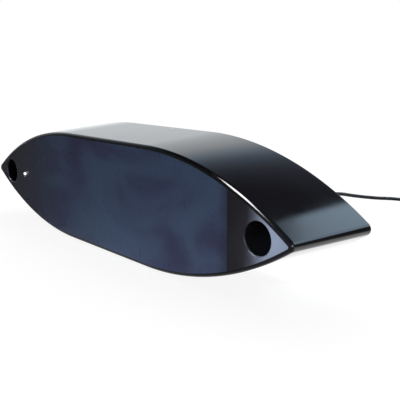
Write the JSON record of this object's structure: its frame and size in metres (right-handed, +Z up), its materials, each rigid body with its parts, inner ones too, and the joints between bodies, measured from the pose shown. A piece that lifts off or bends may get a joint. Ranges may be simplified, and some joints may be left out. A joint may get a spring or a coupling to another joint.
{
  "type": "sonar transducer",
  "caption": "Lens-shaped moulded sonar transducer with pointed ends, sloped sides, bolt wells in its acoustic face, a metal temperature button and a cable from its hull side.",
  "frame": {"origin": "on the floor under the middle of the housing, as it stands on the straight stretch of its lower long side", "axes": "+X along the length, towards the end away from the temperature button; -Y out of the acoustic face; +Y towards the hull side; +Z up"},
  "size_m": [0.894, 0.5719, 0.2082],
  "materials": {
    "black_urethane": "glossy black moulded urethane",
    "potting": "cast, slightly uneven",
    "rigid_foam": "fine closed cells",
    "loaded_epoxy": "smooth cast",
    "ceramic": "fired, with silvered ends",
    "cork_pad": "pressed cork",
    "copper": "bright copper",
    "stainless_steel": "turned",
    "bright_metal": "polished by turning",
    "board": "laminate",
    "core_iron": "stacked sheet",
    "core_insulation": "insulated wires with tinned ends",
    "black_rubber": "smooth extruded jacket",
    "tie": "moulded strap"
  },
  "bodies": {
    "root": {"housing": "black_urethane", "back_fill": "potting", "element_frame": "rigid_foam", "low_matching_plate": "loaded_epoxy", "low_element_1": "ceramic", "low_element_2": "ceramic", "low_element_3": "ceramic", "low_element_4": "ceramic", "low_element_5": "ceramic", "low_element_6": "ceramic", "low_element_7": "ceramic", "low_element_8": "ceramic", "low_backing_pad": "cork_pad", "bus_strip_live": "copper", "bus_strip_return": "copper", "high_matching_disc": "loaded_epoxy", "high_element": "ceramic", "high_backing_pad": "cork_pad", "high_leads": "copper", "terminal_board": "board", "board_spacers": "stainless_steel", "low_transformer_core": "core_iron", "low_transformer_winding": "copper", "high_transformer_core": "core_iron", "high_transformer_winding": "copper", "temperature_button": "bright_metal", "thermistor_bead": "loaded_epoxy", "sensor_leads": "copper", "bolt_sleeve_left": "stainless_steel", "bolt_sleeve_right": "stainless_steel", "cable_ferrule": "stainless_steel", "cable_cores": "core_insulation", "strain_relief": "black_rubber", "cable": "black_rubber", "cable_coil": "black_rubber", "coil_tie": "tie", "cable_tail": "black_rubber", "cable_breakout": "black_rubber", "cable_leads": "core_insulation"}
  },
  "joints": []
}
